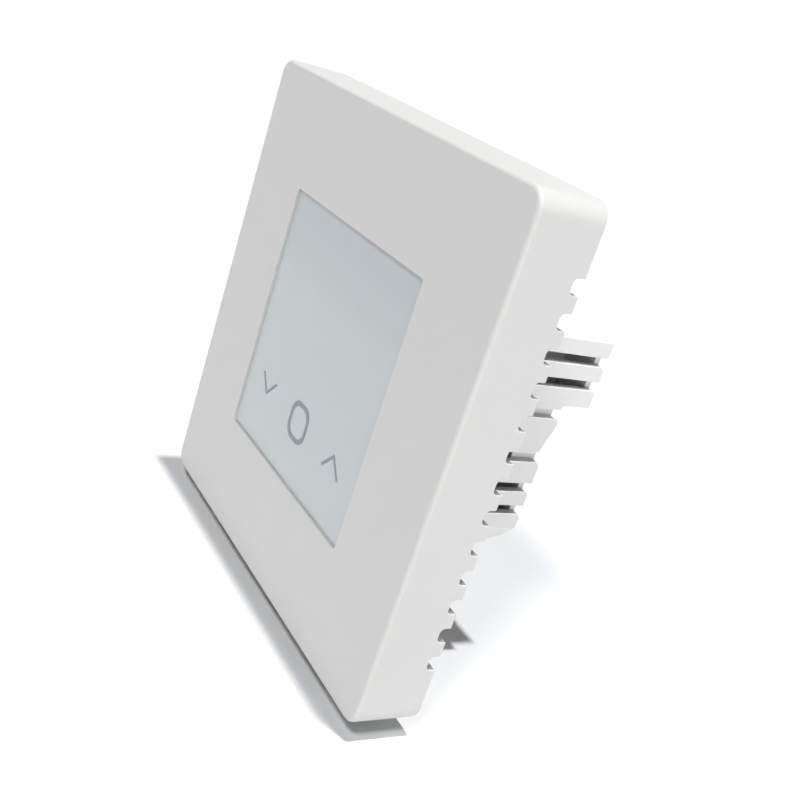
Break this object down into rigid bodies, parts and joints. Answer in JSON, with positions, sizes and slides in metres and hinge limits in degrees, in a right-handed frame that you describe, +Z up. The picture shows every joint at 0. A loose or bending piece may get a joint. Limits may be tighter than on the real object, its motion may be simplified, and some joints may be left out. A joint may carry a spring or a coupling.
{
  "type": "wall thermostat",
  "caption": "Square flush wall thermostat with a blank touch window on a pull-off front, over a vented box that sinks into a round wall box.",
  "frame": {"origin": "in the plane of the wall, midway between the two wall box screws", "axes": "+X to the right seen from the front, +Z up, +Y into the wall"},
  "size_m": [0.086, 0.0407, 0.086],
  "materials": {
    "cover_plastic": "satin moulded white plastic",
    "base_plastic": "fine matte moulded white plastic",
    "lens": "smooth pale blue-grey window",
    "mark_ink": "printed grey ink",
    "film": "milky film",
    "reflector_plastic": "matte white plastic",
    "led": "clear resin over phosphor",
    "contact_metal": "plated contact metal",
    "circuit_board": "green solder mask",
    "black_plastic": "black moulding compound",
    "sensor_bead": "black resin bead",
    "screw_steel": "zinc plated steel",
    "terminal_plastic": "dark grey flame-retardant plastic",
    "relay_case": "black relay case",
    "copper_wire": "enamelled copper wire",
    "relay_iron": "nickel plated iron",
    "ferrite": "dark sintered ferrite",
    "winding_tape": "yellow polyester tape",
    "capacitor_box": "yellow capacitor box",
    "capacitor_sleeve": "dark heat-shrink sleeve",
    "varistor_coat": "blue epoxy coat",
    "resistor_coat": "green cement coat",
    "clamp_brass": "plated brass cage"
  },
  "bodies": {
    "base": {"base_housing": "base_plastic", "closing_plate": "base_plastic", "power_board": "circuit_board", "board_screws": "screw_steel", "header_socket": "black_plastic", "terminal_housing": "terminal_plastic", "current_bars": "contact_metal", "relay_base": "black_plastic", "relay_cover": "relay_case", "relay_bobbin": "black_plastic", "relay_winding": "copper_wire", "relay_core": "relay_iron", "relay_yoke": "relay_iron", "relay_contact": "contact_metal", "transformer_core": "ferrite", "transformer_winding": "winding_tape", "x_capacitor": "capacitor_box", "smoothing_capacitors": "capacitor_sleeve", "varistor": "varistor_coat", "fuse_resistor": "resistor_coat", "rectifier": "black_plastic"},
    "front_module": {"front_cover": "cover_plastic", "window_lens": "lens", "key_marks": "mark_ink", "diffuser_film": "film", "digit_reflector": "reflector_plastic", "display_leds": "led", "touch_springs": "contact_metal", "display_board": "circuit_board", "control_chips": "black_plastic", "room_sensor": "sensor_bead", "header_bar": "black_plastic", "header_pins": "contact_metal", "front_carrier": "base_plastic", "carrier_screws": "screw_steel"},
    "relay_armature": {"relay_armature": "relay_iron", "relay_spring": "contact_metal"},
    "terminal_screw_1": {"terminal_screw_1": "screw_steel"},
    "terminal_clamp_1": {"terminal_clamp_1": "clamp_brass"},
    "terminal_screw_2": {"terminal_screw_2": "screw_steel"},
    "terminal_clamp_2": {"terminal_clamp_2": "clamp_brass"},
    "terminal_screw_3": {"terminal_screw_3": "screw_steel"},
    "terminal_clamp_3": {"terminal_clamp_3": "clamp_brass"},
    "terminal_screw_4": {"terminal_screw_4": "screw_steel"},
    "terminal_clamp_4": {"terminal_clamp_4": "clamp_brass"},
    "terminal_screw_5": {"terminal_screw_5": "screw_steel"},
    "terminal_clamp_5": {"terminal_clamp_5": "clamp_brass"},
    "terminal_screw_6": {"terminal_screw_6": "screw_steel"},
    "terminal_clamp_6": {"terminal_clamp_6": "clamp_brass"}
  },
  "joints": [
    {"name": "front_pull", "type": "slide", "parent": "base", "child": "front_module", "axis": [0, -1, 0], "range_m": [0, 0.03]},
    {"name": "relay_armature_tilt", "type": "hinge", "parent": "base", "child": "relay_armature", "pos_m": [0.0159, 0.0206, 0.01475], "axis": [0, 0, 1], "range_deg": [0, 3], "stiffness_Nm_per_rad": 0.004, "springref_deg": -2.86},
    {"name": "terminal_screw_1_turn", "type": "hinge", "parent": "base", "child": "terminal_screw_1", "pos_m": [-0.0127, 0.018, -0.0189], "axis": [0, -1, 0], "range_deg": [0, 2376]},
    {"name": "terminal_clamp_1_rise", "type": "slide", "parent": "base", "child": "terminal_clamp_1", "axis": [0, 1, 0], "range_m": [0, 0.0033]},
    {"name": "terminal_screw_2_turn", "type": "hinge", "parent": "base", "child": "terminal_screw_2", "pos_m": [-0.00762, 0.018, -0.0189], "axis": [0, -1, 0], "range_deg": [0, 2376]},
    {"name": "terminal_clamp_2_rise", "type": "slide", "parent": "base", "child": "terminal_clamp_2", "axis": [0, 1, 0], "range_m": [0, 0.0033]},
    {"name": "terminal_screw_3_turn", "type": "hinge", "parent": "base", "child": "terminal_screw_3", "pos_m": [-0.00254, 0.018, -0.0189], "axis": [0, -1, 0], "range_deg": [0, 2376]},
    {"name": "terminal_clamp_3_rise", "type": "slide", "parent": "base", "child": "terminal_clamp_3", "axis": [0, 1, 0], "range_m": [0, 0.0033]},
    {"name": "terminal_screw_4_turn", "type": "hinge", "parent": "base", "child": "terminal_screw_4", "pos_m": [0.00254, 0.018, -0.0189], "axis": [0, -1, 0], "range_deg": [0, 2376]},
    {"name": "terminal_clamp_4_rise", "type": "slide", "parent": "base", "child": "terminal_clamp_4", "axis": [0, 1, 0], "range_m": [0, 0.0033]},
    {"name": "terminal_screw_5_turn", "type": "hinge", "parent": "base", "child": "terminal_screw_5", "pos_m": [0.00762, 0.018, -0.0189], "axis": [0, -1, 0], "range_deg": [0, 2376]},
    {"name": "terminal_clamp_5_rise", "type": "slide", "parent": "base", "child": "terminal_clamp_5", "axis": [0, 1, 0], "range_m": [0, 0.0033]},
    {"name": "terminal_screw_6_turn", "type": "hinge", "parent": "base", "child": "terminal_screw_6", "pos_m": [0.0127, 0.018, -0.0189], "axis": [0, -1, 0], "range_deg": [0, 2376]},
    {"name": "terminal_clamp_6_rise", "type": "slide", "parent": "base", "child": "terminal_clamp_6", "axis": [0, 1, 0], "range_m": [0, 0.0033]}
  ],
  "couplings": [
    {"joint": "terminal_screw_1_turn", "follows": "terminal_clamp_1_rise", "rad_per_m": 12566},
    {"joint": "terminal_screw_2_turn", "follows": "terminal_clamp_2_rise", "rad_per_m": 12566},
    {"joint": "terminal_screw_3_turn", "follows": "terminal_clamp_3_rise", "rad_per_m": 12566},
    {"joint": "terminal_screw_4_turn", "follows": "terminal_clamp_4_rise", "rad_per_m": 12566},
    {"joint": "terminal_screw_5_turn", "follows": "terminal_clamp_5_rise", "rad_per_m": 12566},
    {"joint": "terminal_screw_6_turn", "follows": "terminal_clamp_6_rise", "rad_per_m": 12566}
  ]
}
